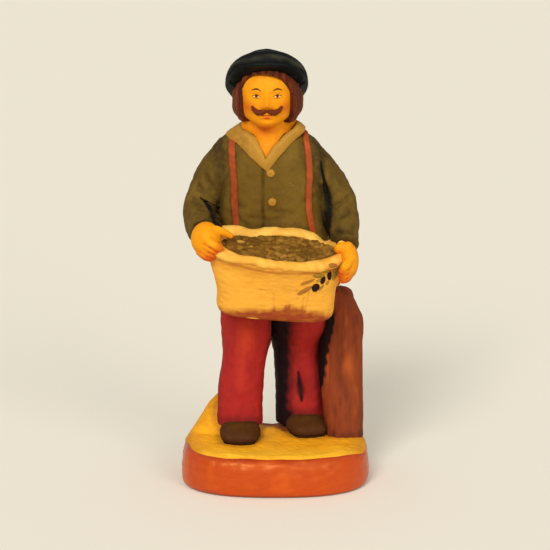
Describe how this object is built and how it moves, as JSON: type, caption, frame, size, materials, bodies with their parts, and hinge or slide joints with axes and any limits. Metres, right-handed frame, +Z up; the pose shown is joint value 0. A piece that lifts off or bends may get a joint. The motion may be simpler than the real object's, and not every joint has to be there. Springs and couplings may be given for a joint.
{
  "type": "santon figurine",
  "caption": "Painted clay santon of an olive seller in a cap and braces, holding a basket of olives and standing beside a tree stump on a rounded base.",
  "frame": {"origin": "centre of the base's flat underside", "axes": "+Z up, -Y the way the figure faces, +X the figure's own left"},
  "size_m": [0.0382, 0.0281, 0.0895],
  "materials": {
    "varnished_terracotta": "satin",
    "ochre_earth_paint": "matte",
    "bark_paint": "matte",
    "shoe_brown_paint": "matte",
    "brick_red_paint": "matte",
    "olive_green_paint": "matte",
    "skin_paint": "matte",
    "straw_paint": "matte",
    "olive_fruit_paint": "satin",
    "khaki_paint": "matte",
    "brace_red_paint": "matte",
    "hair_brown_paint": "matte",
    "cap_black_paint": "satin"
  },
  "bodies": {
    "root": {"base_slab": "varnished_terracotta", "ground": "ochre_earth_paint", "tree_stump": "bark_paint", "right_shoe": "shoe_brown_paint", "left_shoe": "shoe_brown_paint", "right_trouser_leg": "brick_red_paint", "left_trouser_leg": "brick_red_paint", "waistband": "brick_red_paint", "shirt_body": "olive_green_paint", "right_sleeve": "olive_green_paint", "left_sleeve": "olive_green_paint", "right_hand": "skin_paint", "left_hand": "skin_paint", "basket": "straw_paint", "basket_rim": "straw_paint", "olive_heap": "olive_fruit_paint", "head_and_neck": "skin_paint", "hair": "hair_brown_paint", "moustache": "hair_brown_paint", "cap_crown": "cap_black_paint", "cap_peak": "cap_black_paint", "collar": "khaki_paint", "right_brace": "brace_red_paint", "left_brace": "brace_red_paint", "brace_patch": "brace_red_paint", "right_brace_tail": "brace_red_paint", "left_brace_tail": "brace_red_paint", "top_button": "khaki_paint", "lower_button": "khaki_paint"}
  },
  "joints": []
}
